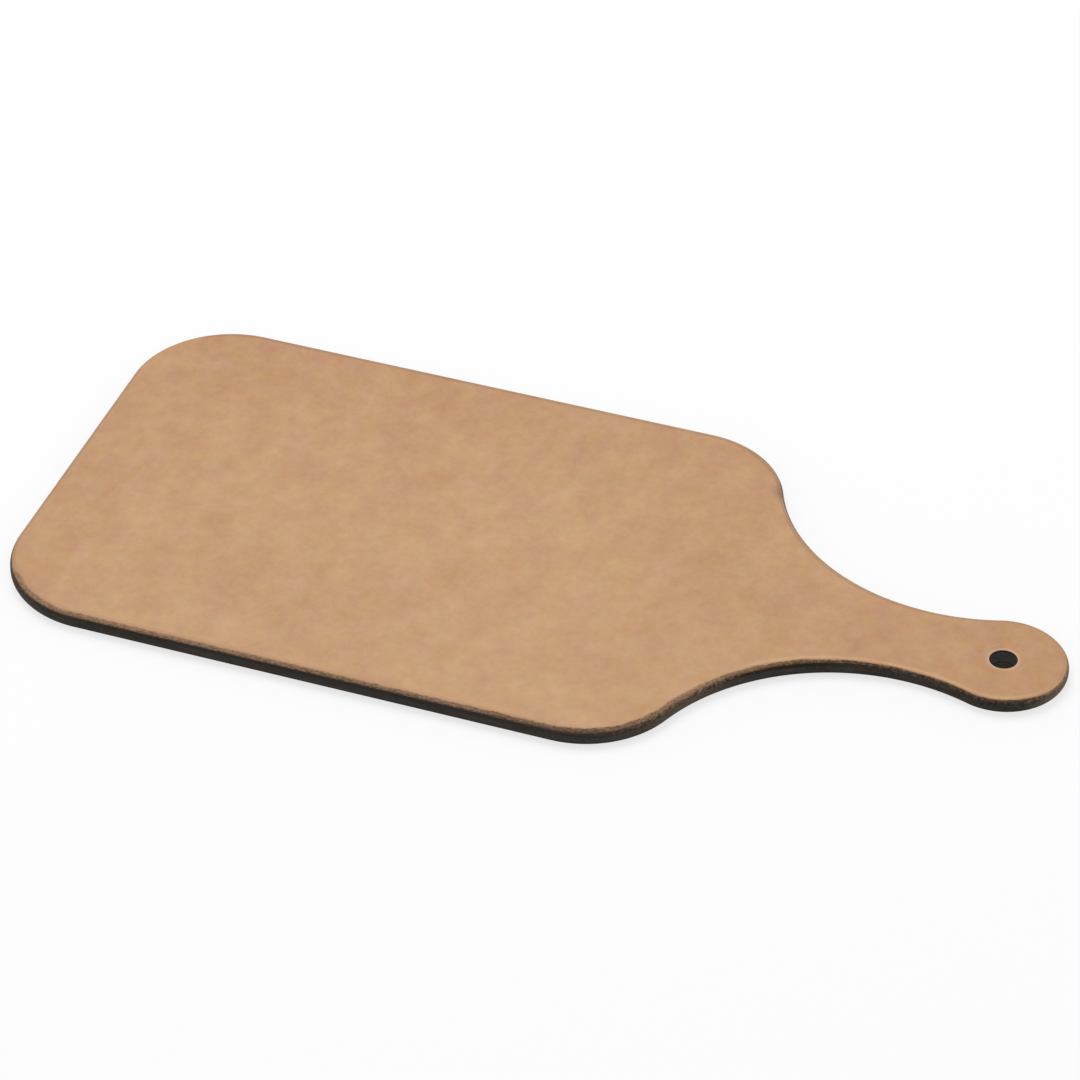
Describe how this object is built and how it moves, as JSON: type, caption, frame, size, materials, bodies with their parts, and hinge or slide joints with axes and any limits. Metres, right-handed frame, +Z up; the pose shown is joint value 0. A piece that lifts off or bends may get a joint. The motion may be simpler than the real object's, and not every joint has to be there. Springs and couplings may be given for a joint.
{
  "type": "bread board",
  "caption": "Flat bread board with rounded corners and a waisted paddle handle, a tan face on a dark core, eased edges and a hanging hole in the round end.",
  "frame": {"origin": "on the underside, at the middle of the overall length and width", "axes": "+X along the board towards the tip of the handle, +Y across the blade, +Z up through the thickness, away from the table"},
  "size_m": [0.399, 0.19, 0.0064],
  "materials": {
    "tan_face": "sanded wood-fibre composite, satin, softly clouded tan with no grain",
    "slate_core": "sanded wood-fibre composite, slate black, satin"
  },
  "bodies": {
    "root": {"bottom_face": "tan_face", "core": "slate_core", "top_face": "tan_face"}
  },
  "joints": []
}
